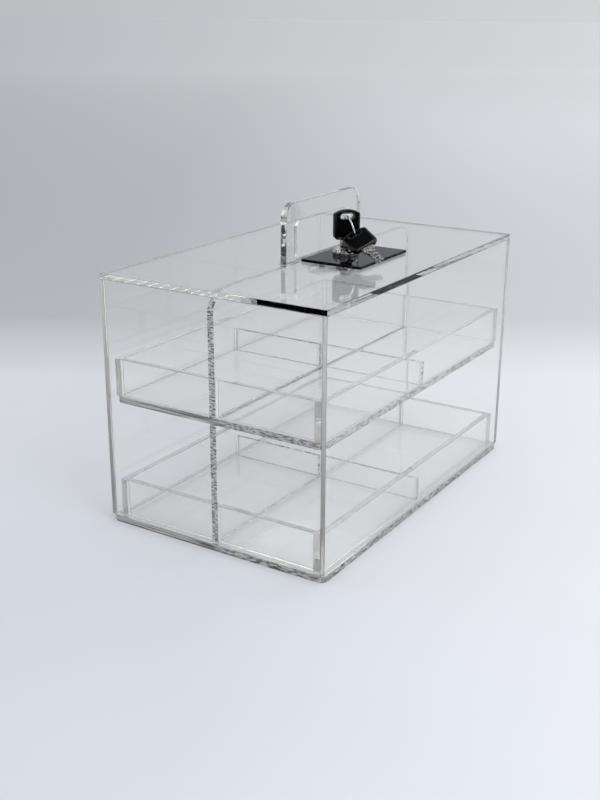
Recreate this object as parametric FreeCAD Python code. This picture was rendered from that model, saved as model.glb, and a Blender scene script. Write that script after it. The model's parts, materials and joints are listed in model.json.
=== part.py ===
import FreeCAD, Part
import os
from math import cos, radians, sin, sqrt

from FreeCAD import Placement, Rotation, Vector

# Two-tier poker chip case in clear sheet.
# A lift-off cover stands on the edge of a base plate. A rack stands on the same base:
# a tall centre plate that ends in the carrying handle, a shelf, and low walls round
# four bays on each tier. A cam lock on the cover's top turns its cam into the centre
# plate, so that the cover can't be lifted.
# Millimetres. Origin: centre of the base's underside. +Z up, -Y is the front.

# ---- driving dimensions -------------------------------------------------------------
CASE_WIDTH = 184.0
CASE_LENGTH = 290.0
CASE_HEIGHT = 188.0

BASE_SHEET = 5.0
RACK_SHEET = 5.0
DIVIDER_SHEET = 3.0
COVER_SHEET = 3.0
TOP_SHEET = 4.0
PLATE_SHEET = 2.0

COVER_GAP = 3.0
SPINE_GAP = 2.0
SPINE_TOP_GAP = 0.5
WALL_HEIGHT = 28.0
DIVIDER_HEIGHT = 18.0
LOWER_BAY_HEIGHT = 88.0

BASE_CORNER = 5.0
SHELF_CORNER = 4.0
SPINE_CORNER = 12.0

HANDLE_LENGTH = 106.0
HANDLE_RISE = 43.0
HANDLE_FRAME = 14.0
HANDLE_CORNER = 12.0
GRIP_CORNER = 6.0
GRIP_LIFT = 0.5
SLOT_END_GAP = 1.0
SLOT_SIDE_GAP = 0.75

# ---- lock dimensions ----------------------------------------------------------------
LOCK_X = 24.5
LOCK_Y = -6.0
PLATE_WIDTH = 49.0
PLATE_LENGTH = 70.0
PLATE_X = 30.0
PLATE_Y = -2.5

FLANGE_RADIUS = 10.0
FLANGE_HEIGHT = 5.0
FLANGE_DOME = 2.8
BARREL_RADIUS = 7.0
BARREL_FLAT = 6.0
BARREL_END = 176.0
BARREL_HOLE_GAP = 0.25
WASHER_RADIUS = 10.0
WASHER_SHEET = 0.8
NUT_ACROSS = 18.0
NUT_HEIGHT = 3.0

RUNNING_GAP = 0.05
PLUG_RADIUS = 4.75
PLUG_CAP_RADIUS = 5.8
PLUG_CAP_HEIGHT = 1.4
PLUG_PROUD = 0.2
TAIL_SIDE = 6.0
CAM_SHEET = 2.0
CAM_WIDTH = 10.0
CAM_REACH = 25.5
CAM_GAP = 0.2
CAM_SLOT_GAP = 1.2
CAM_HUB_RADIUS = 6.0
SCREW_RADIUS = 1.5
SCREW_HEAD_RADIUS = 3.8
SCREW_HEAD_HEIGHT = 2.2
SCREW_GRIP = 4.5
SCREW_RECESS_WIDTH = 1.0
SCREW_RECESS_DEPTH = 1.2

WAFER_COUNT = 5
WAFER_PITCH = 2.2
WAFER_SHEET = 0.8
WAFER_WIDTH = 5.6
WAFER_GAP = 0.05
FIRST_WAFER = 184.0

# ---- key dimensions -----------------------------------------------------------------
KEY_SHEET = 2.0
BLADE_WIDTH = 6.4
BLADE_LENGTH = 20.5
COLLAR_WIDTH = 9.0
COLLAR_LENGTH = 5.9
TANG_LENGTH = 9.0
BLADE_TIP = 1.6
NOTCH_COUNT = 5
NOTCH_PITCH = 2.2
NOTCH_START = 0.7
GROOVE_WIDTH = 1.6
GROOVE_DEPTH = 0.55
GROOVE_OFFSET = 1.0
NOTCH_DEPTHS = (1.1, 0.6, 1.3, 0.8, 1.2)
HEAD_WIDTH = 20.0
HEAD_HEIGHT = 22.0
HEAD_THICK = 4.6
HEAD_ARCH = 3.0
HEAD_BEVEL = 0.9
HEAD_FOOT = 2.5
EYE_WIDTH = 10.5
EYE_HEIGHT = 4.0
EYE_DROP = 5.0
EYE_END_RADIUS = 1.9
KEYWAY_GAP = 0.2

RING_RADIUS = 10.0
RING_WIRE = 0.65

# Rest attitudes, in degrees. The cam rests part way round from the locked position.
REST_TURN = 48.0
RING_LEAN = 16.5
RING_ROUND = 24.0
SPARE_HEADING = -30.0
SPARE_DIP = 17.5
SPARE_ROLL = 63.0

# ---- how far a cutting shape runs past a face, and how alike two levels or ways are ----
OVERCUT = 1.0
SAME_LEVEL = 0.01
SAME_WAY = 0.99

# ---- levels and half sizes worked out from them -------------------------------------
HALF_WIDTH = CASE_WIDTH / 2
HALF_LENGTH = CASE_LENGTH / 2
COVER_UNDERSIDE = CASE_HEIGHT - TOP_SHEET
RACK_HALF_WIDTH = HALF_WIDTH - COVER_SHEET - COVER_GAP
RACK_HALF_LENGTH = HALF_LENGTH - COVER_SHEET - COVER_GAP
SPINE_HALF_LENGTH = HALF_LENGTH - COVER_SHEET - SPINE_GAP
SPINE_TOP = COVER_UNDERSIDE - SPINE_TOP_GAP
SPINE_SIDE = RACK_SHEET / 2
SHELF_BOTTOM = BASE_SHEET + LOWER_BAY_HEIGHT
SHELF_TOP = SHELF_BOTTOM + RACK_SHEET
BAY_OUTER = RACK_HALF_WIDTH - RACK_SHEET
HANDLE_TOP = CASE_HEIGHT + HANDLE_RISE

PLATE_TOP = CASE_HEIGHT + PLATE_SHEET
FLANGE_TOP = PLATE_TOP + FLANGE_HEIGHT
PLUG_FACE = FLANGE_TOP + PLUG_PROUD
CAM_TOP = BARREL_END - CAM_GAP
CAM_BOTTOM = CAM_TOP - CAM_SHEET
HEAD_BOTTOM = PLUG_FACE + PLUG_PROUD + COLLAR_LENGTH
KEYWAY_END = HEAD_BOTTOM - BLADE_LENGTH - KEYWAY_GAP
EYE_LEVEL = HEAD_HEIGHT - EYE_DROP

TIERS = {"lower": BASE_SHEET, "upper": SHELF_TOP}
SIDES = {"left": -1, "right": 1}
ENDS = {"front": -1, "back": 1}


# ---- small helpers ------------------------------------------------------------------
def block(x_low, x_high, y_low, y_high, z_low, z_high):
    """A box between two corners, given in any order along each axis."""
    corner = Vector(min(x_low, x_high), min(y_low, y_high), z_low)
    return Part.makeBox(abs(x_high - x_low), abs(y_high - y_low), z_high - z_low, corner)


def centred_block(x_size, y_size, z_low, z_high):
    return block(-x_size / 2, x_size / 2, -y_size / 2, y_size / 2, z_low, z_high)


def rounded_block(x_size, y_size, z_low, z_high, radius):
    """A flat plate with its four upright edges rounded."""
    plate = centred_block(x_size, y_size, z_low, z_high)
    return plate.makeFillet(radius, upright_edges(plate))


def upright_edges(shape):
    return [edge for edge in shape.Edges if abs(edge.tangentAt(edge.FirstParameter).z) > SAME_WAY]


def disc(radius, z_low, z_high):
    return Part.makeCylinder(radius, z_high - z_low, Vector(0, 0, z_low))


def edge_through(shape, point):
    """The edge of the shape that passes through the point."""
    here = Part.Vertex(point)
    return min(shape.Edges, key=lambda edge: edge.distToShape(here)[0])


def round_rim(shape, level):
    """The level circular edge at this height."""
    for edge in shape.Edges:
        if isinstance(edge.Curve, Part.Circle) and abs(edge.CenterOfMass.z - level) < SAME_LEVEL:
            return edge
    return None


def at_lock(shape, turn=0.0):
    """Carries a shape drawn on the Z axis to the lock's axis, turned about it."""
    moved = shape.copy()
    at_axis = Placement(Vector(LOCK_X, LOCK_Y, 0), Rotation(Vector(0, 0, 1), turn))
    moved.Placement = at_axis.multiply(moved.Placement)
    return moved


# ---- rack ---------------------------------------------------------------------------
def base_plate():
    return rounded_block(CASE_WIDTH, CASE_LENGTH, 0, BASE_SHEET, BASE_CORNER)


def spine_body():
    """The centre plate up to the cover's underside, with rounded top corners."""
    plate = block(-SPINE_SIDE, SPINE_SIDE, -SPINE_HALF_LENGTH, SPINE_HALF_LENGTH, BASE_SHEET, SPINE_TOP)
    corners = [Vector(0, end * SPINE_HALF_LENGTH, SPINE_TOP) for end in ENDS.values()]
    return plate.makeFillet(SPINE_CORNER, [edge_through(plate, corner) for corner in corners])


def handle_frame():
    """The handle that rises out of the centre plate, before its grip is cut."""
    half = HANDLE_LENGTH / 2
    frame = block(-SPINE_SIDE, SPINE_SIDE, -half, half, SPINE_TOP, HANDLE_TOP)
    corners = [Vector(0, end * half, HANDLE_TOP) for end in ENDS.values()]
    return frame.makeFillet(HANDLE_CORNER, [edge_through(frame, corner) for corner in corners])


def grip_hole():
    half = HANDLE_LENGTH / 2 - HANDLE_FRAME
    low = CASE_HEIGHT + GRIP_LIFT
    high = HANDLE_TOP - HANDLE_FRAME
    reach = SPINE_SIDE + OVERCUT
    hole = block(-reach, reach, -half, half, low, high)
    lengthwise = [edge for edge in hole.Edges if abs(edge.tangentAt(edge.FirstParameter).x) > SAME_WAY]
    return hole.makeFillet(GRIP_CORNER, lengthwise)


def cam_slot():
    """The window in the centre plate that the lock's cam swings into from the front."""
    sweep = sqrt(CAM_REACH ** 2 - (LOCK_X - SPINE_SIDE) ** 2)
    front = LOCK_Y - sweep - CAM_SLOT_GAP
    back = LOCK_Y + CAM_WIDTH / 2 + CAM_SLOT_GAP
    low = CAM_BOTTOM - CAM_SLOT_GAP
    high = CAM_TOP + CAM_SLOT_GAP
    reach = SPINE_SIDE + OVERCUT
    return block(-reach, reach, front, back, low, high)


def spine_plate():
    plate = spine_body().fuse(handle_frame()).removeSplitter()
    reach = SPINE_SIDE + OVERCUT
    shelf_slot = block(-reach, reach, -HALF_LENGTH, 0, SHELF_BOTTOM, SHELF_TOP)
    return plate.cut([grip_hole(), cam_slot(), shelf_slot])


def upper_shelf():
    """The shelf passes through the front half of the centre plate and is slotted at the back."""
    shelf = rounded_block(2 * RACK_HALF_WIDTH, 2 * RACK_HALF_LENGTH, SHELF_BOTTOM, SHELF_TOP, SHELF_CORNER)
    slot = block(-SPINE_SIDE, SPINE_SIDE, 0, HALF_LENGTH, SHELF_BOTTOM, SHELF_TOP)
    return shelf.cut(slot)


def side_wall(side, floor):
    """A long wall, notched from below where the divider's end comes through it."""
    outer = side * RACK_HALF_WIDTH
    inner = side * BAY_OUTER
    wall = block(inner, outer, -RACK_HALF_LENGTH, RACK_HALF_LENGTH, floor, floor + WALL_HEIGHT)
    return wall.cut(divider(side, floor))


def end_wall(side, end, floor):
    outer = end * RACK_HALF_LENGTH
    inner = end * (RACK_HALF_LENGTH - RACK_SHEET)
    return block(side * SPINE_SIDE, side * BAY_OUTER, inner, outer, floor, floor + WALL_HEIGHT)


def divider(side, floor):
    """From the centre plate through the side wall, its end flush with the wall's outer face."""
    half = DIVIDER_SHEET / 2
    outer = side * RACK_HALF_WIDTH
    return block(side * SPINE_SIDE, outer, -half, half, floor, floor + DIVIDER_HEIGHT)


def rack_nodes():
    nodes = {"base_plate": base_plate(), "spine_plate": spine_plate(), "upper_shelf": upper_shelf()}
    for tier, floor in TIERS.items():
        for side_name, side in SIDES.items():
            nodes[f"{tier}_{side_name}_wall"] = side_wall(side, floor)
            nodes[f"{tier}_{side_name}_divider"] = divider(side, floor)
            for end_name, end in ENDS.items():
                nodes[f"{tier}_{end_name}_{side_name}_wall"] = end_wall(side, end, floor)
    return nodes


# ---- cover --------------------------------------------------------------------------
def barrel_section(gap, z_low, z_high):
    """A round bar with two flats, grown by the gap: the lock's barrel or the hole for it."""
    bar = disc(BARREL_RADIUS + gap, z_low, z_high)
    return bar.common(centred_block(2 * (BARREL_FLAT + gap), 4 * BARREL_RADIUS, z_low, z_high))


def lock_hole():
    return at_lock(barrel_section(BARREL_HOLE_GAP, COVER_UNDERSIDE - OVERCUT, PLATE_TOP + OVERCUT))


def cover_top():
    top = centred_block(CASE_WIDTH, CASE_LENGTH, COVER_UNDERSIDE, CASE_HEIGHT)
    slot_width = RACK_SHEET + 2 * SLOT_SIDE_GAP
    slot_length = HANDLE_LENGTH + 2 * SLOT_END_GAP
    slot = centred_block(slot_width, slot_length, COVER_UNDERSIDE - OVERCUT, CASE_HEIGHT + OVERCUT)
    return top.cut([slot, lock_hole()])


def cover_side(side):
    outer = side * HALF_WIDTH
    inner = side * (HALF_WIDTH - COVER_SHEET)
    return block(inner, outer, -HALF_LENGTH, HALF_LENGTH, BASE_SHEET, COVER_UNDERSIDE)


def cover_end(end):
    outer = end * HALF_LENGTH
    inner = end * (HALF_LENGTH - COVER_SHEET)
    half = HALF_WIDTH - COVER_SHEET
    return block(-half, half, inner, outer, BASE_SHEET, COVER_UNDERSIDE)


def cover_nodes():
    nodes = {"cover_top": cover_top()}
    for side_name, side in SIDES.items():
        nodes[f"cover_{side_name}"] = cover_side(side)
    for end_name, end in ENDS.items():
        nodes[f"cover_{end_name}"] = cover_end(end)
    return nodes


# ---- lock ---------------------------------------------------------------------------
def lock_plate():
    plate = centred_block(PLATE_WIDTH, PLATE_LENGTH, CASE_HEIGHT, PLATE_TOP)
    plate.translate(Vector(PLATE_X, PLATE_Y, 0))
    return plate.cut(lock_hole())


def lock_body():
    """Domed flange and flatted barrel, bored for the plug."""
    flange = disc(FLANGE_RADIUS, PLATE_TOP, FLANGE_TOP)
    flange = flange.makeFillet(FLANGE_DOME, [round_rim(flange, FLANGE_TOP)])
    body = flange.fuse(barrel_section(0, BARREL_END, PLATE_TOP)).removeSplitter()
    bore = disc(PLUG_RADIUS + RUNNING_GAP, BARREL_END, FLANGE_TOP)
    counterbore = disc(PLUG_CAP_RADIUS + RUNNING_GAP, FLANGE_TOP - PLUG_CAP_HEIGHT, FLANGE_TOP)
    return at_lock(body.cut([bore, counterbore]))


def lock_washer():
    low = COVER_UNDERSIDE - WASHER_SHEET
    ring = disc(WASHER_RADIUS, low, COVER_UNDERSIDE)
    return at_lock(ring.cut(disc(BARREL_RADIUS + BARREL_HOLE_GAP, low, COVER_UNDERSIDE)))


def lock_nut():
    high = COVER_UNDERSIDE - WASHER_SHEET
    low = high - NUT_HEIGHT
    corner_radius = NUT_ACROSS / 2 / cos(radians(30))
    corners = []
    for step in range(7):
        turn = radians(60 * step)
        corners.append(Vector(corner_radius * cos(turn), corner_radius * sin(turn), low))
    hexagon = Part.Face(Part.makePolygon(corners)).extrude(Vector(0, 0, NUT_HEIGHT))
    return at_lock(hexagon.cut(disc(BARREL_RADIUS, low, high)))


def wafer_level(index):
    return FIRST_WAFER + index * WAFER_PITCH


def keyway():
    width = BLADE_WIDTH + 2 * KEYWAY_GAP
    return centred_block(width, KEY_SHEET + 2 * KEYWAY_GAP, KEYWAY_END, PLUG_FACE + OVERCUT)


def wafer_slot(index):
    low = wafer_level(index) - WAFER_GAP
    high = wafer_level(index) + WAFER_SHEET + WAFER_GAP
    reach = 2 * (PLUG_RADIUS + OVERCUT)
    return centred_block(reach, WAFER_WIDTH + 2 * WAFER_GAP, low, high)


def lock_plug():
    """The turning plug: cap, wafer slots, keyway, square tail and the cam screw's hole."""
    barrel = disc(PLUG_RADIUS, CAM_TOP, PLUG_FACE)
    cap = disc(PLUG_CAP_RADIUS, FLANGE_TOP - PLUG_CAP_HEIGHT + RUNNING_GAP, PLUG_FACE)
    tail = centred_block(TAIL_SIDE, TAIL_SIDE, CAM_BOTTOM, CAM_TOP)
    plug = barrel.fuse([cap, tail]).removeSplitter()
    screw_hole = disc(SCREW_RADIUS, CAM_BOTTOM, CAM_BOTTOM + SCREW_GRIP)
    cuts = [keyway(), screw_hole]
    cuts.extend(wafer_slot(index) for index in range(WAFER_COUNT))
    return at_lock(plug.cut(cuts), REST_TURN)


def lock_wafers():
    """Five tumbler wafers, held flush with the plug by the key."""
    wafers = []
    for index in range(WAFER_COUNT):
        low = wafer_level(index)
        high = low + WAFER_SHEET
        wafer = centred_block(2 * PLUG_RADIUS, WAFER_WIDTH, low, high)
        wafer = wafer.common(disc(PLUG_RADIUS, low, high))
        window = centred_block(BLADE_WIDTH + 2 * KEYWAY_GAP, KEY_SHEET + 2 * KEYWAY_GAP, low, high)
        wafers.append(wafer.cut(window))
    return at_lock(Part.makeCompound(wafers), REST_TURN)


def lock_cam():
    """A flat finger with a round tip, square-holed to turn with the plug."""
    tip_radius = CAM_WIDTH / 2
    tip_x = -(CAM_REACH - tip_radius)
    finger = block(tip_x, 0, -tip_radius, tip_radius, CAM_BOTTOM, CAM_TOP)
    tip = Part.makeCylinder(tip_radius, CAM_SHEET, Vector(tip_x, 0, CAM_BOTTOM))
    hub = disc(CAM_HUB_RADIUS, CAM_BOTTOM, CAM_TOP)
    cam = finger.fuse([tip, hub]).removeSplitter()
    return at_lock(cam.cut(centred_block(TAIL_SIDE, TAIL_SIDE, CAM_BOTTOM, CAM_TOP)), REST_TURN)


def cam_screw():
    low = CAM_BOTTOM - SCREW_HEAD_HEIGHT
    head = disc(SCREW_HEAD_RADIUS, low, CAM_BOTTOM)
    head = head.makeFillet(SCREW_HEAD_HEIGHT / 2, [round_rim(head, low)])
    screw = head.fuse(disc(SCREW_RADIUS, CAM_BOTTOM, CAM_BOTTOM + SCREW_GRIP)).removeSplitter()
    arm = centred_block(SCREW_HEAD_RADIUS, SCREW_RECESS_WIDTH, low, low + SCREW_RECESS_DEPTH)
    cross_arm = centred_block(SCREW_RECESS_WIDTH, SCREW_HEAD_RADIUS, low, low + SCREW_RECESS_DEPTH)
    return at_lock(screw.cut([arm, cross_arm]), REST_TURN)


def lock_nodes():
    return {
        "lock_plate": lock_plate(),
        "lock_body": lock_body(),
        "lock_washer": lock_washer(),
        "lock_nut": lock_nut(),
        "lock_plug": lock_plug(),
        "lock_wafers": lock_wafers(),
        "lock_cam": lock_cam(),
        "cam_screw": cam_screw(),
    }


# ---- keys: drawn upright on the Z axis, the head's bottom at Z = 0 --------------------
def blade_notch(index, side):
    """A V-shaped cut in one edge of the blade."""
    depth = NOTCH_DEPTHS[index] if side > 0 else NOTCH_DEPTHS[-1 - index]
    level = -BLADE_LENGTH + BLADE_TIP + NOTCH_PITCH * (index + NOTCH_START)
    edge = side * BLADE_WIDTH / 2
    half = NOTCH_PITCH / 2
    corners = [
        Vector(edge + side * OVERCUT, -KEY_SHEET, level - half),
        Vector(edge, -KEY_SHEET, level - half),
        Vector(edge - side * depth, -KEY_SHEET, level),
        Vector(edge, -KEY_SHEET, level + half),
        Vector(edge + side * OVERCUT, -KEY_SHEET, level + half),
    ]
    outline = Part.makePolygon(corners + corners[:1])
    return Part.Face(outline).extrude(Vector(0, 2 * KEY_SHEET, 0))


def blade_groove(side):
    """A milled channel along one face of the blade, from its tip to the collar."""
    middle = side * GROOVE_OFFSET
    face = side * KEY_SHEET / 2
    return block(middle - GROOVE_WIDTH / 2, middle + GROOVE_WIDTH / 2,
                 face - side * GROOVE_DEPTH, face + side * OVERCUT,
                 -BLADE_LENGTH - OVERCUT, -COLLAR_LENGTH)


def tang():
    return centred_block(COLLAR_WIDTH, KEY_SHEET, 0, TANG_LENGTH)


def key_blade():
    """Metal blade with a collar that stops on the plug, and a tang inside the head."""
    half = BLADE_WIDTH / 2
    corners = [
        Vector(-half, 0, -COLLAR_LENGTH),
        Vector(-half, 0, -BLADE_LENGTH + BLADE_TIP),
        Vector(-half + BLADE_TIP, 0, -BLADE_LENGTH),
        Vector(half - BLADE_TIP, 0, -BLADE_LENGTH),
        Vector(half, 0, -BLADE_LENGTH + BLADE_TIP),
        Vector(half, 0, -COLLAR_LENGTH),
    ]
    blade = Part.Face(Part.makePolygon(corners + corners[:1])).extrude(Vector(0, KEY_SHEET, 0))
    blade.translate(Vector(0, -KEY_SHEET / 2, 0))
    collar = centred_block(COLLAR_WIDTH, KEY_SHEET, -COLLAR_LENGTH, 0)
    blade = blade.fuse([collar, tang()]).removeSplitter()
    cuts = [blade_notch(index, side) for index in range(NOTCH_COUNT) for side in SIDES.values()]
    cuts.extend(blade_groove(side) for side in SIDES.values())
    return blade.cut(cuts)


def key_head():
    """Plastic head with an arched top, bevelled faces and a long eye for the ring."""
    half = HEAD_WIDTH / 2
    shoulder = HEAD_HEIGHT - HEAD_ARCH
    arch = Part.Arc(Vector(-half, 0, shoulder), Vector(0, 0, HEAD_HEIGHT), Vector(half, 0, shoulder))
    edges = [
        arch.toShape(),
        Part.makeLine(Vector(half, 0, shoulder), Vector(half, 0, HEAD_FOOT)),
        Part.makeLine(Vector(half, 0, HEAD_FOOT), Vector(half - HEAD_FOOT, 0, 0)),
        Part.makeLine(Vector(half - HEAD_FOOT, 0, 0), Vector(HEAD_FOOT - half, 0, 0)),
        Part.makeLine(Vector(HEAD_FOOT - half, 0, 0), Vector(-half, 0, HEAD_FOOT)),
        Part.makeLine(Vector(-half, 0, HEAD_FOOT), Vector(-half, 0, shoulder)),
    ]
    head = Part.Face(Part.Wire(edges)).extrude(Vector(0, HEAD_THICK, 0))
    head.translate(Vector(0, -HEAD_THICK / 2, 0))
    flat_edges = [edge for edge in head.Edges if abs(edge.BoundBox.YLength) < SAME_LEVEL]
    head = head.makeChamfer(HEAD_BEVEL, flat_edges)
    eye = block(-EYE_WIDTH / 2, EYE_WIDTH / 2, -HEAD_THICK, HEAD_THICK,
                EYE_LEVEL - EYE_HEIGHT / 2, EYE_LEVEL + EYE_HEIGHT / 2)
    through = [edge for edge in eye.Edges if abs(edge.tangentAt(edge.FirstParameter).y) > SAME_WAY]
    eye = eye.makeFillet(EYE_END_RADIUS, through)
    return head.cut([eye, tang()])


# Directions at rest: along the first key's width, out of its face, and down the ring.
TURN = radians(REST_TURN)
WIDTH_WAY = Vector(cos(TURN), sin(TURN), 0)
FACE_WAY = Vector(sin(TURN), -cos(TURN), 0)
LEAN = radians(RING_LEAN)
RING_DOWN = WIDTH_WAY * sin(LEAN) - Vector(0, 0, 1) * cos(LEAN)
FIRST_EYE = Vector(LOCK_X, LOCK_Y, HEAD_BOTTOM + EYE_LEVEL)
RING_CENTRE = FIRST_EYE + RING_DOWN * RING_RADIUS
ROUND = radians(RING_ROUND)
SPARE_EYE = RING_CENTRE + (FACE_WAY * cos(ROUND) + RING_DOWN * sin(ROUND)) * RING_RADIUS


def key_ring():
    return Part.makeTorus(RING_RADIUS, RING_WIRE, RING_CENTRE, FACE_WAY.cross(RING_DOWN))


def first_key(shape):
    """The key in the lock: upright, its collar just over the plug's face."""
    raised = shape.copy()
    raised.translate(Vector(0, 0, HEAD_BOTTOM))
    return at_lock(raised, REST_TURN)


def spare_key(shape):
    """The second key: hung on the ring by its eye, lying out over the plate."""
    heading = Rotation(Vector(0, 0, 1), SPARE_HEADING)
    dip = Rotation(Vector(0, 1, 0), SPARE_DIP - 90)
    roll = Rotation(Vector(0, 0, 1), SPARE_ROLL)
    attitude = heading.multiply(dip).multiply(roll)
    hung = shape.copy()
    hung.Placement = Placement(SPARE_EYE - attitude.multVec(Vector(0, 0, EYE_LEVEL)), attitude)
    return hung


def key_nodes():
    return {
        "key_1_blade": first_key(key_blade()),
        "key_1_head": first_key(key_head()),
        "key_2_blade": spare_key(key_blade()),
        "key_2_head": spare_key(key_head()),
        "key_ring": key_ring(),
    }


def main():
    os.makedirs("parts", exist_ok=True)
    nodes = {}
    for group in (rack_nodes(), cover_nodes(), lock_nodes(), key_nodes()):
        nodes.update(group)
    for name, shape in nodes.items():
        shape.exportStep(f"parts/{name}.step")


main()
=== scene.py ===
import json
import math

import bmesh
import bpy
from mathutils import Matrix, Vector

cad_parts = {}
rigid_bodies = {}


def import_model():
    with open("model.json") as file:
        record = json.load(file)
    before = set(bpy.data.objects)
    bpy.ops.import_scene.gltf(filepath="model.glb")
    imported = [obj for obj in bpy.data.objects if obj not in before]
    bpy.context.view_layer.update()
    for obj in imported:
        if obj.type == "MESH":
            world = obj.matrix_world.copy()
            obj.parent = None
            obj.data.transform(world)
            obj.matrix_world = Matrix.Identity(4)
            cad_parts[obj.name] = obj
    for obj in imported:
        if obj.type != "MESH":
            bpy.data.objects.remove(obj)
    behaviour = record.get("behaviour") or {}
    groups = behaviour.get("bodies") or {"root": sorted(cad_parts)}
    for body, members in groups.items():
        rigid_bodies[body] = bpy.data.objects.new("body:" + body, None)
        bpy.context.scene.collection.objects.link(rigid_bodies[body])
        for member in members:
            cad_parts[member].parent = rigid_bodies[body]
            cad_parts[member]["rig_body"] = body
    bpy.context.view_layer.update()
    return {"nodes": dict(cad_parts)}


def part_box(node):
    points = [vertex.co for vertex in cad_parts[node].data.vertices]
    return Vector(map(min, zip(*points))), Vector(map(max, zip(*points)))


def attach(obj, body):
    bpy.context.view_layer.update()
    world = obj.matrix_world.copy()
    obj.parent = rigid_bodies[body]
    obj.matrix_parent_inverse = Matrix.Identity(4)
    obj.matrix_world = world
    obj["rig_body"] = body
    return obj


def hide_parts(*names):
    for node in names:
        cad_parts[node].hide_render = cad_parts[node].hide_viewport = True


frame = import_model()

# Two-tier poker chip case in clear acrylic, standing on a pale studio floor.
# Metres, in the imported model's frame: -Y is the front, +Z up, Z = 0 the floor.

MM = 0.001
X_AXIS, Y_AXIS, Z_AXIS = range(3)
AXIS_NAMES = "xyz"

# Edges and joins: broken corners, the gap between sheets, and the key head's sunk faces.
SHEET_ARRIS = 0.25 * MM
BOND_GAP = 0.02 * MM
PLATE_BITE = 0.05 * MM
METAL_ARRIS = 0.12 * MM
HEAD_ARRIS = 0.22 * MM
HEAD_RIM = 0.8 * MM
HEAD_SINK = 0.3 * MM

# How corners and faces are told apart.
MERGE_DISTANCE = 0.002 * MM
FLAT_ANGLE = math.radians(0.3)
SHARP_ANGLE = math.radians(28)
SMOOTH_ANGLE = math.radians(20)
FACE_ON = 0.99
NEARLY_FACE_ON = 0.95
UNDERSIDE = -0.9

# Clear acrylic. Clearness is the share that is see-through, and the rest is matt.
ACRYLIC_IOR = 1.49
SHEET_TINT = (0.82, 0.81, 0.79, 1.0)
SHEET_TINT_DENSITY = 4.0
LAMP_BLOCK = 0.05
POLISHED_TINT = (0.997, 0.992, 0.988, 1.0)
FLAMED_TINT = (0.95, 0.945, 0.94, 1.0)
FLAMED_RIPPLE = 0.06
RIM_GLARE = 0.0
CORNER_TINT = (0.90, 0.89, 0.88, 1.0)
CORNER_FOOT_TINT = (0.34, 0.335, 0.33, 1.0)
CORNER_CLEARNESS = 0.70
WALL_END_TINT = (0.78, 0.77, 0.76, 1.0)
WALL_END_RIPPLE = 0.2
WALL_END_CLEARNESS = 0.86
MILLED_DARK = (0.13, 0.127, 0.12, 1.0)
MILLED_PALE = (0.86, 0.85, 0.835, 1.0)
MILLED_CLEARNESS = 0.50
SAWN_DARK = (0.045, 0.044, 0.042, 1.0)
SAWN_PALE = (0.95, 0.945, 0.935, 1.0)
SAWN_CLEARNESS = 0.45

# Black parts, each as a plain tone and the tone of its dust, blotches or rubbed spots.
BLACK_SHEET = ((0.003, 0.003, 0.0035, 1.0), (0.012, 0.012, 0.013, 1.0))
BLACK_SHEET_IOR = 1.18
BLACK_CEMENT = ((0.001, 0.001, 0.0012, 1.0), (0.004, 0.004, 0.0045, 1.0))
BLACK_PLASTIC = ((0.001, 0.001, 0.0013, 1.0), (0.003, 0.003, 0.0035, 1.0))
PLASTIC_GLOSS = 0.02
WORN_GLOSS = 0.35

# Metals.
CHROME = (0.80, 0.80, 0.81, 1.0)
PLUG_CHROME = (0.72, 0.70, 0.66, 1.0)
ZINC = (0.62, 0.62, 0.63, 1.0)
BRASS = (0.78, 0.60, 0.30, 1.0)
KEY_NICKEL = (0.42, 0.405, 0.38, 1.0)
RING_STEEL = (0.74, 0.74, 0.74, 1.0)
EVEN_SCRATCHES = (900.0, 900.0, 900.0)

# Tones of the paper, with painted light and shade: painted light in front of the case and beside it, painted
# shade behind, and painted light far off.
PAPER_LEFT_PAINTED_LIGHT = ((0.63, 0.665, 0.70, 1.0), (0.67, 0.705, 0.74, 1.0))
PAPER_RIGHT_PAINTED_LIGHT = ((0.76, 0.78, 0.81, 1.0), (0.80, 0.82, 0.85, 1.0))
PAINTED_LIGHT_FURTHER_BACK = (0.90, 0.91, 0.92, 1.0)
PAINTED_LIGHT_FURTHER_BACK_SHARE = 0.20
SHADE_LEFT = (0.50, 0.505, 0.53, 1.0)
SHADE_RIGHT = (0.66, 0.68, 0.70, 1.0)
FAR_PAINTED_LIGHT_LEFT = (0.645, 0.657, 0.68, 1.0)
FAR_PAINTED_LIGHT_RIGHT = (0.92, 0.93, 0.945, 1.0)

# Tones of the room: at the horizon, on the camera's side and overhead.
HORIZON_LEFT = (0.492, 0.503, 0.522, 1.0)
HORIZON_RIGHT = (0.648, 0.66, 0.675, 1.0)
ROOM_NEAR = (0.30, 0.288, 0.273, 1.0)
ROOM_OVERHEAD = (0.90, 0.91, 0.94, 1.0)

CAMERA_PLACE = Vector((0.4261, -0.7056, 0.3621))
CAMERA_AZIMUTH = math.radians(-32.23)
CAMERA_DIP = math.radians(19.56)
CAMERA_ROLL = math.radians(0.27)
CAMERA_LENS = 49.84
SENSOR_WIDTH = 36.0
VIEW_WAY = Vector((math.sin(CAMERA_AZIMUTH), math.cos(CAMERA_AZIMUTH), 0.0))
RIGHT_WAY = Vector((math.cos(CAMERA_AZIMUTH), -math.sin(CAMERA_AZIMUTH), 0.0))

CAMERA_REACH = 0.9
FLOOR_REACH = 30.0

# Most bounces of a light path, and how many of them can be in clear sheets.
LONGEST_PATH = 128
SHEET_CROSSINGS = 96
MATT_BOUNCES = 3


# ---- node helpers -------------------------------------------------------------------
def new_material(name):
    material = bpy.data.materials.new(name)
    material.use_nodes = True
    tree = material.node_tree
    return material, tree, tree.nodes["Principled BSDF"]


def feed(tree, target, value):
    """Sets an input to a plain value, or links it to an output."""
    if isinstance(value, bpy.types.NodeSocket):
        tree.links.new(value, target)
    else:
        target.default_value = value


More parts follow.
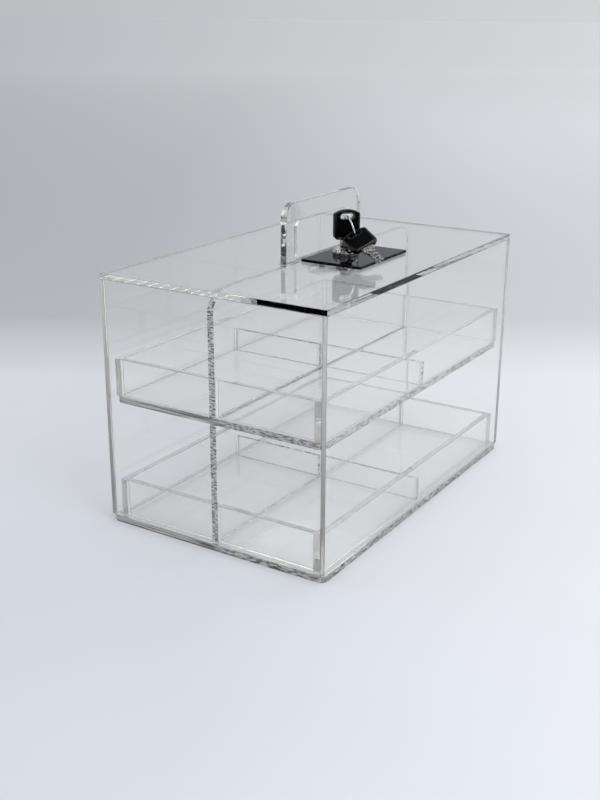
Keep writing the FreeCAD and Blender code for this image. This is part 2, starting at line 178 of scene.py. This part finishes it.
def calculate(tree, operation, first, second):
    node = tree.nodes.new("ShaderNodeMath")
    node.operation = operation
    feed(tree, node.inputs[0], first)
    feed(tree, node.inputs[1], second)
    return node.outputs[0]


def blend_values(tree, share, low, high):
    """low where share is 0 and high where it is 1."""
    node = tree.nodes.new("ShaderNodeMix")
    node.data_type = "FLOAT"
    feed(tree, node.inputs["Factor"], share)
    feed(tree, node.inputs["A"], low)
    feed(tree, node.inputs["B"], high)
    return node.outputs["Result"]


def blend_colours(tree, share, low, high):
    node = tree.nodes.new("ShaderNodeMix")
    node.data_type = "RGBA"
    feed(tree, node.inputs["Factor"], share)
    colour_inputs = [socket for socket in node.inputs if socket.type == "RGBA"]
    feed(tree, colour_inputs[0], low)
    feed(tree, colour_inputs[1], high)
    return [socket for socket in node.outputs if socket.type == "RGBA"][0]


def ramp(tree, value, start, end):
    """0 up to start and 1 from end on, whichever way they lie."""
    node = tree.nodes.new("ShaderNodeMapRange")
    feed(tree, node.inputs["Value"], value)
    node.inputs["From Min"].default_value = start
    node.inputs["From Max"].default_value = end
    return node.outputs["Result"]


def object_place(tree, stretch=(1.0, 1.0, 1.0)):
    coordinates = tree.nodes.new("ShaderNodeTexCoord")
    mapping = tree.nodes.new("ShaderNodeMapping")
    mapping.inputs["Scale"].default_value = stretch
    tree.links.new(coordinates.outputs["Object"], mapping.inputs["Vector"])
    return mapping.outputs["Vector"]


def noise(tree, scale, detail=2.0, stretch=(1.0, 1.0, 1.0)):
    node = tree.nodes.new("ShaderNodeTexNoise")
    node.inputs["Scale"].default_value = scale
    node.inputs["Detail"].default_value = detail
    tree.links.new(object_place(tree, stretch), node.inputs["Vector"])
    return node.outputs["Fac"]


def parts_of(tree, vector):
    """The outputs X, Y and Z of a vector."""
    node = tree.nodes.new("ShaderNodeSeparateXYZ")
    tree.links.new(vector, node.inputs["Vector"])
    return node.outputs


def reach_along(tree, vector, way):
    """How far a vector reaches along a level direction."""
    node = tree.nodes.new("ShaderNodeVectorMath")
    node.operation = "DOT_PRODUCT"
    tree.links.new(vector, node.inputs[0])
    node.inputs[1].default_value = way
    return node.outputs["Value"]


def bump(tree, height, strength, distance):
    node = tree.nodes.new("ShaderNodeBump")
    feed(tree, node.inputs["Strength"], strength)
    node.inputs["Distance"].default_value = distance
    tree.links.new(height, node.inputs["Height"])
    return node.outputs["Normal"]


# ---- materials ----------------------------------------------------------------------
def lamp_alpha(tree):
    """Lets most lamp and floor light straight through a clear sheet."""
    path = tree.nodes.new("ShaderNodeLightPath")
    soft_ray = calculate(tree, "MAXIMUM", path.outputs["Is Shadow Ray"], path.outputs["Is Diffuse Ray"])
    return blend_values(tree, soft_ray, low=1.0, high=LAMP_BLOCK)


def clear_base(name, colour, roughness, normal, clearness=1.0, glare=1.0):
    """Clear cast acrylic that refracts, with a faint tint by depth. glare scales its surface shine."""
    material, tree, shader = new_material(name)
    shader.inputs["Transmission Weight"].default_value = clearness
    shader.inputs["IOR"].default_value = ACRYLIC_IOR
    shader.inputs["Specular Tint"].default_value = (glare, glare, glare, 1.0)
    feed(tree, shader.inputs["Base Color"], colour(tree))
    feed(tree, shader.inputs["Roughness"], roughness(tree))
    feed(tree, shader.inputs["Normal"], normal(tree))
    feed(tree, shader.inputs["Alpha"], lamp_alpha(tree))
    absorb = tree.nodes.new("ShaderNodeVolumeAbsorption")
    absorb.inputs["Color"].default_value = SHEET_TINT
    absorb.inputs["Density"].default_value = SHEET_TINT_DENSITY
    tree.links.new(absorb.outputs["Volume"], tree.nodes["Material Output"].inputs["Volume"])
    return material


def polished_acrylic():
    """Polished faces: a faint wave and faint smears."""
    def colour(tree):
        return POLISHED_TINT

    def roughness(tree):
        smear = ramp(tree, noise(tree, scale=22.0, detail=4.0), start=0.62, end=0.80)
        return blend_values(tree, smear, low=0.0, high=0.02)

    def normal(tree):
        return bump(tree, noise(tree, scale=9.0, detail=1.0), strength=0.03, distance=0.4 * MM)

    return clear_base("acrylic_polished", colour, roughness, normal)


def saw_marks(tree, across):
    """Tooth marks that run across a cut edge, uneven along its length."""
    stretch = [1100.0, 1100.0, 1100.0]
    stretch[across] = 260.0
    teeth = noise(tree, scale=1.0, detail=1.0, stretch=tuple(stretch))
    chatter = noise(tree, scale=1500.0, detail=1.0)
    return blend_values(tree, 0.35, teeth, chatter)


def sawn_acrylic(across):
    """Saw-cut edge of a sheet; across is the axis through the sheet."""
    def colour(tree):
        fleck = ramp(tree, saw_marks(tree, across), start=0.45, end=0.54)
        return blend_colours(tree, fleck, SAWN_DARK, SAWN_PALE)

    def roughness(tree):
        return blend_values(tree, noise(tree, scale=300.0, detail=2.0), low=0.02, high=0.14)

    def normal(tree):
        patchy = ramp(tree, noise(tree, scale=25.0, detail=2.0), start=0.30, end=0.70)
        strength = blend_values(tree, patchy, low=0.25, high=0.9)
        return bump(tree, saw_marks(tree, across), strength=strength, distance=0.6 * MM)

    return clear_base("acrylic_sawn_" + AXIS_NAMES[across], colour, roughness, normal, SAWN_CLEARNESS)


def mill_marks(tree, along):
    """Cutter lines drawn out along an edge; where X is over zero they break into chatter."""
    stretch = [900.0, 900.0, 900.0]
    stretch[along] = 25.0
    lines = noise(tree, scale=1.0, detail=2.0, stretch=tuple(stretch))
    stretch[along] = 230.0
    chatter = noise(tree, scale=1.0, detail=3.0, stretch=tuple(stretch))
    across_case = parts_of(tree, object_place(tree))["X"]
    uneven = calculate(tree, "MULTIPLY", noise(tree, scale=30.0, detail=1.0), 0.03)
    patch = ramp(tree, calculate(tree, "ADD", across_case, uneven), start=0.012, end=0.025)
    return blend_values(tree, patch, lines, chatter)


def milled_acrylic(along):
    """Routed edge of a base or shelf; along is the axis the cutter ran."""
    def colour(tree):
        line = ramp(tree, mill_marks(tree, along), start=0.40, end=0.58)
        return blend_colours(tree, line, MILLED_DARK, MILLED_PALE)

    def roughness(tree):
        return blend_values(tree, noise(tree, scale=200.0, detail=2.0), low=0.04, high=0.20)

    def normal(tree):
        return bump(tree, mill_marks(tree, along), strength=0.55, distance=0.5 * MM)

    return clear_base("acrylic_milled_" + AXIS_NAMES[along], colour, roughness, normal, MILLED_CLEARNESS)


def flamed_acrylic(name, along, tint, ripple, clearness=1.0, glare=1.0):
    """Flame-polished edge: clear, with slow ripples drawn out along the axis named."""
    stretch = [1.0, 1.0, 1.0]
    stretch[along] = 0.10

    def colour(tree):
        streak = noise(tree, scale=700.0, detail=2.0, stretch=tuple(stretch))
        pale = tuple(min(1.0, 1.1 * part) for part in tint[:3]) + (1.0,)
        return blend_colours(tree, ramp(tree, streak, start=0.35, end=0.65), tint, pale)

    def roughness(tree):
        return blend_values(tree, noise(tree, scale=60.0, detail=2.0), low=0.0, high=0.02)

    def normal(tree):
        ripples = noise(tree, scale=320.0, detail=2.0, stretch=tuple(stretch))
        return bump(tree, ripples, strength=ripple, distance=0.3 * MM)

    return clear_base(name, colour, roughness, normal, clearness, glare)


def flamed_set(name, glare=1.0):
    """One flamed material for each axis that an edge can run along."""
    return [flamed_acrylic(name + AXIS_NAMES[axis], axis, FLAMED_TINT, FLAMED_RIPPLE, glare=glare)
            for axis in range(3)]


def corner_acrylic():
    """The cover's upright cut edges: hazy, and darker towards the foot."""
    def colour(tree):
        level = parts_of(tree, object_place(tree))["Z"]
        patches = noise(tree, scale=40.0, detail=2.0, stretch=(1.0, 1.0, 0.3))
        uneven = calculate(tree, "MULTIPLY", patches, 0.03)
        height = ramp(tree, calculate(tree, "ADD", level, uneven), start=0.050, end=0.115)
        return blend_colours(tree, height, CORNER_FOOT_TINT, CORNER_TINT)

    def roughness(tree):
        return blend_values(tree, noise(tree, scale=90.0, detail=2.0), low=0.02, high=0.08)

    def normal(tree):
        ripples = noise(tree, scale=320.0, detail=2.0, stretch=(1.0, 1.0, 0.1))
        return bump(tree, ripples, strength=0.15, distance=0.3 * MM)

    return clear_base("acrylic_corner", colour, roughness, normal, CORNER_CLEARNESS)


def black_acrylic():
    """Glossy black sheet with dust and faint rub marks."""
    material, tree, shader = new_material("acrylic_black")
    dust = ramp(tree, noise(tree, scale=900.0, detail=2.0), start=0.62, end=0.78)
    feed(tree, shader.inputs["Base Color"], blend_colours(tree, dust, *BLACK_SHEET))
    rub = ramp(tree, noise(tree, scale=70.0, detail=4.0), start=0.45, end=0.75)
    feed(tree, shader.inputs["Roughness"], blend_values(tree, rub, low=0.01, high=0.05))
    wave = noise(tree, scale=40.0, detail=1.0)
    feed(tree, shader.inputs["Normal"], bump(tree, wave, strength=0.03, distance=0.3 * MM))
    shader.inputs["IOR"].default_value = BLACK_SHEET_IOR
    return material


def cement_black():
    """The plate's cemented underside: no gloss, because no air is left behind it."""
    material, tree, shader = new_material("cement_black")
    blotch = noise(tree, scale=120.0, detail=3.0)
    feed(tree, shader.inputs["Base Color"], blend_colours(tree, blotch, *BLACK_CEMENT))
    shader.inputs["Specular IOR Level"].default_value = 0.0
    shader.inputs["Roughness"].default_value = 0.9
    return material


def metal(name, colour, roughness, scratches, patch_scale=260.0, dullness=0.8):
    """Plated or bare metal with scratches and darker patches. roughness gives its two ends."""
    material, tree, shader = new_material(name)
    shader.inputs["Metallic"].default_value = 1.0
    patch = noise(tree, scale=patch_scale, detail=3.0)
    dull = tuple(dullness * part for part in colour[:3]) + (1.0,)
    dull_share = ramp(tree, patch, start=0.4, end=0.6)
    feed(tree, shader.inputs["Base Color"], blend_colours(tree, dull_share, colour, dull))
    feed(tree, shader.inputs["Roughness"], blend_values(tree, patch, *roughness))
    scratched = noise(tree, scale=1.0, detail=3.0, stretch=scratches)
    feed(tree, shader.inputs["Normal"], bump(tree, scratched, strength=0.18, distance=0.05 * MM))
    return material


def moulded_black(name, gloss):
    """Black moulded plastic with a fine grain and rubbed high spots."""
    material, tree, shader = new_material(name)
    rub = ramp(tree, noise(tree, scale=300.0, detail=3.0), start=0.5, end=0.75)
    feed(tree, shader.inputs["Base Color"], blend_colours(tree, rub, *BLACK_PLASTIC))
    shader.inputs["Specular IOR Level"].default_value = gloss
    haze = noise(tree, scale=220.0, detail=2.0)
    feed(tree, shader.inputs["Roughness"], blend_values(tree, haze, low=0.16, high=0.30))
    grain = noise(tree, scale=2600.0, detail=2.0)
    feed(tree, shader.inputs["Normal"], bump(tree, grain, strength=0.12, distance=0.06 * MM))
    return material


def studio_floor():
    """Pale matt paper with faint mottling; painted light makes it paler to the right, further back and far
    off, with painted shade behind the case.
    """
    material, tree, shader = new_material("studio_paper_painted_light")
    mottle = noise(tree, scale=6.0, detail=5.0)
    place = object_place(tree)
    behind = reach_along(tree, place, VIEW_WAY)
    rightward = reach_along(tree, place, RIGHT_WAY)
    # Painted light: the paper is paler to the right.
    painted_light_rightward = ramp(tree, rightward, start=-0.08, end=0.30)
    left_painted_light = blend_colours(tree, mottle, *PAPER_LEFT_PAINTED_LIGHT)
    right_painted_light = blend_colours(tree, mottle, *PAPER_RIGHT_PAINTED_LIGHT)
    pale = blend_colours(tree, painted_light_rightward, left_painted_light, right_painted_light)
    # Painted light: the paper is paler further back.
    further_back = ramp(tree, behind, start=-0.30, end=0.15)
    painted_back_light_share = calculate(tree, "MULTIPLY", further_back, PAINTED_LIGHT_FURTHER_BACK_SHARE)
    pale = blend_colours(tree, painted_back_light_share, pale, PAINTED_LIGHT_FURTHER_BACK)
    wobble = calculate(tree, "MULTIPLY", noise(tree, scale=2.5, detail=2.0), 0.12)
    # Painted shade behind the case, paler to the right by painted light.
    shade_share = ramp(tree, calculate(tree, "ADD", behind, wobble), start=0.34, end=0.56)
    shade_side = ramp(tree, rightward, start=-0.30, end=0.45)
    shaded_tone = blend_colours(tree, shade_side, SHADE_LEFT, SHADE_RIGHT)
    shaded = blend_colours(tree, shade_share, pale, shaded_tone)
    # Painted light far off: the paper is paler there, and paler to the right.
    distance = calculate(tree, "ADD", calculate(tree, "MAXIMUM", behind, 0.0), CAMERA_REACH)
    bearing = calculate(tree, "DIVIDE", rightward, distance)
    far_painted_light_side = ramp(tree, bearing, start=-0.27, end=0.27)
    far_painted_light = blend_colours(tree, far_painted_light_side, FAR_PAINTED_LIGHT_LEFT, FAR_PAINTED_LIGHT_RIGHT)
    far_painted_light_share = ramp(tree, behind, start=0.8, end=6.0)
    feed(tree, shader.inputs["Base Color"], blend_colours(tree, far_painted_light_share, shaded, far_painted_light))
    shader.inputs["Roughness"].default_value = 0.75
    shader.inputs["Specular IOR Level"].default_value = 0.15
    unevenness = noise(tree, scale=14.0, detail=4.0)
    feed(tree, shader.inputs["Normal"], bump(tree, unevenness, strength=0.08, distance=2 * MM))
    return material


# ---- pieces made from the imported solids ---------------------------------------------
def solid_of(node):
    """A clean bmesh of a CAD node: split corners joined and flat areas whole."""
    source = frame["nodes"][node].data
    scratch = bpy.data.meshes.new(node + "_source")
    faces = [tuple(face.vertices) for face in source.polygons]
    scratch.from_pydata([vertex.co for vertex in source.vertices], [], faces)
    solid = bmesh.new()
    solid.from_mesh(scratch)
    bpy.data.meshes.remove(scratch)
    bmesh.ops.remove_doubles(solid, verts=solid.verts, dist=MERGE_DISTANCE)
    bmesh.ops.dissolve_limit(solid, angle_limit=FLAT_ANGLE, verts=solid.verts, edges=solid.edges)
    bmesh.ops.recalc_face_normals(solid, faces=solid.faces)
    return solid


def sharp_edges(solid):
    return [edge for edge in solid.edges if edge.calc_face_angle(0.0) > SHARP_ANGLE]


def resize(solid, growth):
    """Moves every outer side of the solid out by growth, or in where it is negative."""
    low = Vector([min(vertex.co[axis] for vertex in solid.verts) for axis in range(3)])
    high = Vector([max(vertex.co[axis] for vertex in solid.verts) for axis in range(3)])
    middle = (low + high) / 2
    for vertex in solid.verts:
        for axis in range(3):
            size = high[axis] - low[axis]
            scale = (size + 2 * growth) / size
            vertex.co[axis] = middle[axis] + (vertex.co[axis] - middle[axis]) * scale


def break_edges(solid, width, segments=2):
    edges = sharp_edges(solid)
    bmesh.ops.bevel(solid, geom=edges, offset=width, segments=segments, profile=0.5,
                    affect="EDGES", clamp_overlap=True)


def shade(solid):
    for face in solid.faces:
        face.smooth = True
    for edge in solid.edges:
        edge.smooth = edge.calc_face_angle(0.0) < SMOOTH_ANGLE


def place_piece(solid, node, materials):
    mesh = bpy.data.meshes.new(node + "_mesh")
    solid.to_mesh(mesh)
    solid.free()
    piece = bpy.data.objects.new(node + "_piece", mesh)
    bpy.context.scene.collection.objects.link(piece)
    for material in materials:
        mesh.materials.append(material)
    even = piece.modifiers.new("even_normals", "WEIGHTED_NORMAL")
    even.keep_sharp = True
    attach(piece, frame["nodes"][node]["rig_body"])
    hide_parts(node)
    return piece


def clear_sheet(node, across, edges, arris=SHEET_ARRIS):
    """A sheet of clear acrylic. edges gives the material of a cut face from its direction and height."""
    solid = solid_of(node)
    resize(solid, -BOND_GAP)
    break_edges(solid, arris)
    shade(solid)
    materials = [POLISHED]
    for face in solid.faces:
        if abs(face.normal[across]) < FACE_ON:
            material = edges(face.normal, face.calc_center_median())
            if material not in materials:
                materials.append(material)
            face.material_index = materials.index(material)
    return place_piece(solid, node, materials)


def metal_piece(node, material, arris=METAL_ARRIS):
    solid = solid_of(node)
    break_edges(solid, arris)
    shade(solid)
    return place_piece(solid, node, [material])


POLISHED = polished_acrylic()
SAWN = [sawn_acrylic(axis) for axis in range(3)]
MILLED = [milled_acrylic(axis) for axis in range(3)]
FLAMED = flamed_set("acrylic_flamed_")
RIM = flamed_set("acrylic_rim_", RIM_GLARE)
WALL_END = flamed_acrylic("acrylic_wall_end", Z_AXIS, WALL_END_TINT, WALL_END_RIPPLE, WALL_END_CLEARNESS)
CORNER = corner_acrylic()


def main_axis(direction):
    return max(range(3), key=lambda axis: abs(direction[axis]))


def edge_way(across, normal):
    """The axis that an edge runs along: across neither the sheet nor the face."""
    facing = main_axis(normal)
    return facing if facing == across else 3 - across - facing


def flamed_edges(across):
    return lambda normal, centre: FLAMED[edge_way(across, normal)]


def rim_edges(across):
    return lambda normal, centre: RIM[edge_way(across, normal)]


def milled_edges(across):
    return lambda normal, centre: MILLED[edge_way(across, normal)]


def sawn_edges(across, flamed_over=math.inf):
    """Saw-cut edges, with flamed ones over a given height."""
    def edges(normal, centre):
        if centre.z > flamed_over:
            return FLAMED[edge_way(across, normal)]
        return SAWN[across]
    return edges


def upright_edges(across, upright):
    """Flamed edges, with another material for the upright ones."""
    def edges(normal, centre):
        way = edge_way(across, normal)
        return upright if way == Z_AXIS else FLAMED[way]
    return edges


def make_rack():
    handle_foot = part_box("cover_top")[0].z
    clear_sheet("base_plate", Z_AXIS, milled_edges(Z_AXIS))
    clear_sheet("upper_shelf", Z_AXIS, milled_edges(Z_AXIS))
    clear_sheet("spine_plate", X_AXIS, sawn_edges(X_AXIS, handle_foot))
    for tier in ("lower", "upper"):
        for side in ("left", "right"):
            clear_sheet(f"{tier}_{side}_wall", X_AXIS, upright_edges(X_AXIS, WALL_END))
            clear_sheet(f"{tier}_{side}_divider", Y_AXIS, sawn_edges(Y_AXIS))
            for end in ("front", "back"):
                clear_sheet(f"{tier}_{end}_{side}_wall", Y_AXIS, flamed_edges(Y_AXIS))


def make_cover():
    clear_sheet("cover_top", Z_AXIS, rim_edges(Z_AXIS))
    for side in ("left", "right"):
        clear_sheet(f"cover_{side}", X_AXIS, upright_edges(X_AXIS, CORNER))
    for end in ("front", "back"):
        clear_sheet(f"cover_{end}", Y_AXIS, upright_edges(Y_AXIS, CORNER))


def make_lock_plate():
    """The black plate bites a hair into the top, as a cemented sheet does."""
    solid = solid_of("lock_plate")
    resize(solid, PLATE_BITE)
    break_edges(solid, SHEET_ARRIS)
    shade(solid)
    for face in solid.faces:
        face.material_index = 1 if face.normal.z < UNDERSIDE else 0
    place_piece(solid, "lock_plate", [black_acrylic(), cement_black()])


def make_lock():
    chrome = metal("chrome", CHROME, roughness=(0.02, 0.07), scratches=(300.0, 300.0, 2600.0),
                   patch_scale=500.0, dullness=0.18)
    plug = metal("chrome_plug", PLUG_CHROME, roughness=(0.10, 0.30), scratches=EVEN_SCRATCHES)
    zinc = metal("zinc_steel", ZINC, roughness=(0.22, 0.42), scratches=(200.0, 2400.0, 200.0))
    brass = metal("brass", BRASS, roughness=(0.20, 0.35), scratches=EVEN_SCRATCHES)
    metal_piece("lock_body", chrome, arris=0.2 * MM)
    metal_piece("lock_washer", zinc)
    metal_piece("lock_nut", zinc, arris=0.3 * MM)
    metal_piece("lock_plug", plug, arris=0.05 * MM)
    metal_piece("lock_wafers", brass, arris=0.04 * MM)
    metal_piece("lock_cam", zinc, arris=0.2 * MM)
    metal_piece("cam_screw", zinc, arris=0.1 * MM)


def key_head(node, plastics):
    """A moulded head: broad faces sunk inside a rim, and rounded edges worn glossy by hands."""
    solid = solid_of(node)
    solid.faces.ensure_lookup_table()
    broad = max(solid.faces, key=lambda face: face.calc_area()).normal.copy()
    for way in (broad, -broad):
        faces = [face for face in solid.faces if face.normal.dot(way) > FACE_ON]
        reach = max(face.calc_center_median().dot(way) for face in faces)
        outer = [face for face in faces if face.calc_center_median().dot(way) > reach - 0.1 * MM]
        bmesh.ops.inset_region(solid, faces=outer, thickness=HEAD_RIM, depth=-HEAD_SINK, use_even_offset=True)
    break_edges(solid, HEAD_ARRIS, segments=3)
    shade(solid)
    for face in solid.faces:
        face.material_index = 0 if abs(face.normal.dot(broad)) > NEARLY_FACE_ON else 1
    place_piece(solid, node, plastics)


def make_keys():
    nickel = metal("key_nickel", KEY_NICKEL, roughness=(0.04, 0.14), scratches=(500.0, 500.0, 2400.0),
                   patch_scale=800.0, dullness=0.06)
    wire = metal("ring_steel", RING_STEEL, roughness=(0.10, 0.24), scratches=EVEN_SCRATCHES)
    plastics = [moulded_black("key_plastic_black", PLASTIC_GLOSS),
                moulded_black("key_plastic_worn", WORN_GLOSS)]
    for key in ("key_1", "key_2"):
        metal_piece(key + "_blade", nickel, arris=0.1 * MM)
        key_head(key + "_head", plastics)
    metal_piece("key_ring", wire)


# ---- studio -------------------------------------------------------------------------
def make_floor():
    mesh = bpy.data.meshes.new("studio_floor_mesh")
    reach = FLOOR_REACH
    corners = [(-reach, -reach, 0), (reach, -reach, 0), (reach, reach, 0), (-reach, reach, 0)]
    mesh.from_pydata(corners, [], [(0, 1, 2, 3)])
    floor = bpy.data.objects.new("studio_floor", mesh)
    bpy.context.scene.collection.objects.link(floor)
    mesh.materials.append(studio_floor())


def make_world():
    """A pale room, brighter to the right, dim on the camera's side and bright overhead."""
    world = bpy.data.worlds.new("studio")
    bpy.context.scene.world = world
    world.use_nodes = True
    tree = world.node_tree
    background = tree.nodes["Background"]
    direction = tree.nodes.new("ShaderNodeTexCoord").outputs["Generated"]
    upward = parts_of(tree, direction)["Z"]
    near_side = ramp(tree, reach_along(tree, direction, VIEW_WAY), start=0.2, end=-0.6)
    right_side = ramp(tree, reach_along(tree, direction, RIGHT_WAY), start=-0.26, end=0.26)
    horizon = blend_colours(tree, right_side, HORIZON_LEFT, HORIZON_RIGHT)
    over_horizon = ramp(tree, upward, start=0.04, end=0.20)
    near_share = calculate(tree, "MULTIPLY", near_side, over_horizon)
    walls = blend_colours(tree, near_share, horizon, ROOM_NEAR)
    overhead = ramp(tree, upward, start=0.35, end=0.85)
    sky = blend_colours(tree, overhead, walls, ROOM_OVERHEAD)
    tree.links.new(sky, background.inputs["Color"])
    background.inputs["Strength"].default_value = 1.0


def softbox(name, place, target, size, power):
    lamp = bpy.data.lights.new(name, "AREA")
    lamp.shape = "RECTANGLE"
    lamp.size = size
    lamp.size_y = size
    lamp.energy = power
    holder = bpy.data.objects.new(name, lamp)
    bpy.context.scene.collection.objects.link(holder)
    holder.location = place
    holder.rotation_euler = (Vector(target) - Vector(place)).to_track_quat("-Z", "Y").to_euler()


def make_camera():
    forward = Vector((
        math.sin(CAMERA_AZIMUTH) * math.cos(CAMERA_DIP),
        math.cos(CAMERA_AZIMUTH) * math.cos(CAMERA_DIP),
        -math.sin(CAMERA_DIP),
    ))
    level = Vector((math.cos(CAMERA_AZIMUTH), -math.sin(CAMERA_AZIMUTH), 0.0))
    upright = level.cross(forward)
    right = level * math.cos(CAMERA_ROLL) + upright * math.sin(CAMERA_ROLL)
    up = upright * math.cos(CAMERA_ROLL) - level * math.sin(CAMERA_ROLL)
    data = bpy.data.cameras.new("camera")
    data.lens = CAMERA_LENS
    data.sensor_width = SENSOR_WIDTH
    data.clip_start = 0.01
    camera = bpy.data.objects.new("camera", data)
    bpy.context.scene.collection.objects.link(camera)
    turn = Matrix((right, up, -forward)).transposed()
    camera.matrix_world = Matrix.Translation(CAMERA_PLACE) @ turn.to_4x4()
    bpy.context.scene.camera = camera


def set_light_paths():
    """Enough bounces for a ray to cross every sheet and run inside the thick edges."""
    scene = bpy.context.scene
    scene.cycles.max_bounces = LONGEST_PATH
    scene.cycles.glossy_bounces = SHEET_CROSSINGS
    scene.cycles.transmission_bounces = SHEET_CROSSINGS
    scene.cycles.transparent_max_bounces = SHEET_CROSSINGS
    scene.cycles.diffuse_bounces = MATT_BOUNCES
    scene.cycles.volume_bounces = 0
    scene.view_settings.view_transform = "Standard"


make_rack()
make_cover()
make_lock_plate()
make_lock()
make_keys()
make_floor()
make_world()
softbox("key_softbox", place=(1.1, -0.4, 1.1), target=(0.35, -0.25, 0.0), size=0.8, power=9.0)
softbox("fill_softbox", place=(-1.0, -0.6, 1.2), target=(0.0, 0.0, 0.1), size=0.9, power=1.0)
softbox("backdrop_softbox", place=(0.9, 3.0, 2.2), target=(0.5, 2.6, 0.0), size=2.0, power=20.0)
make_camera()
set_light_paths()
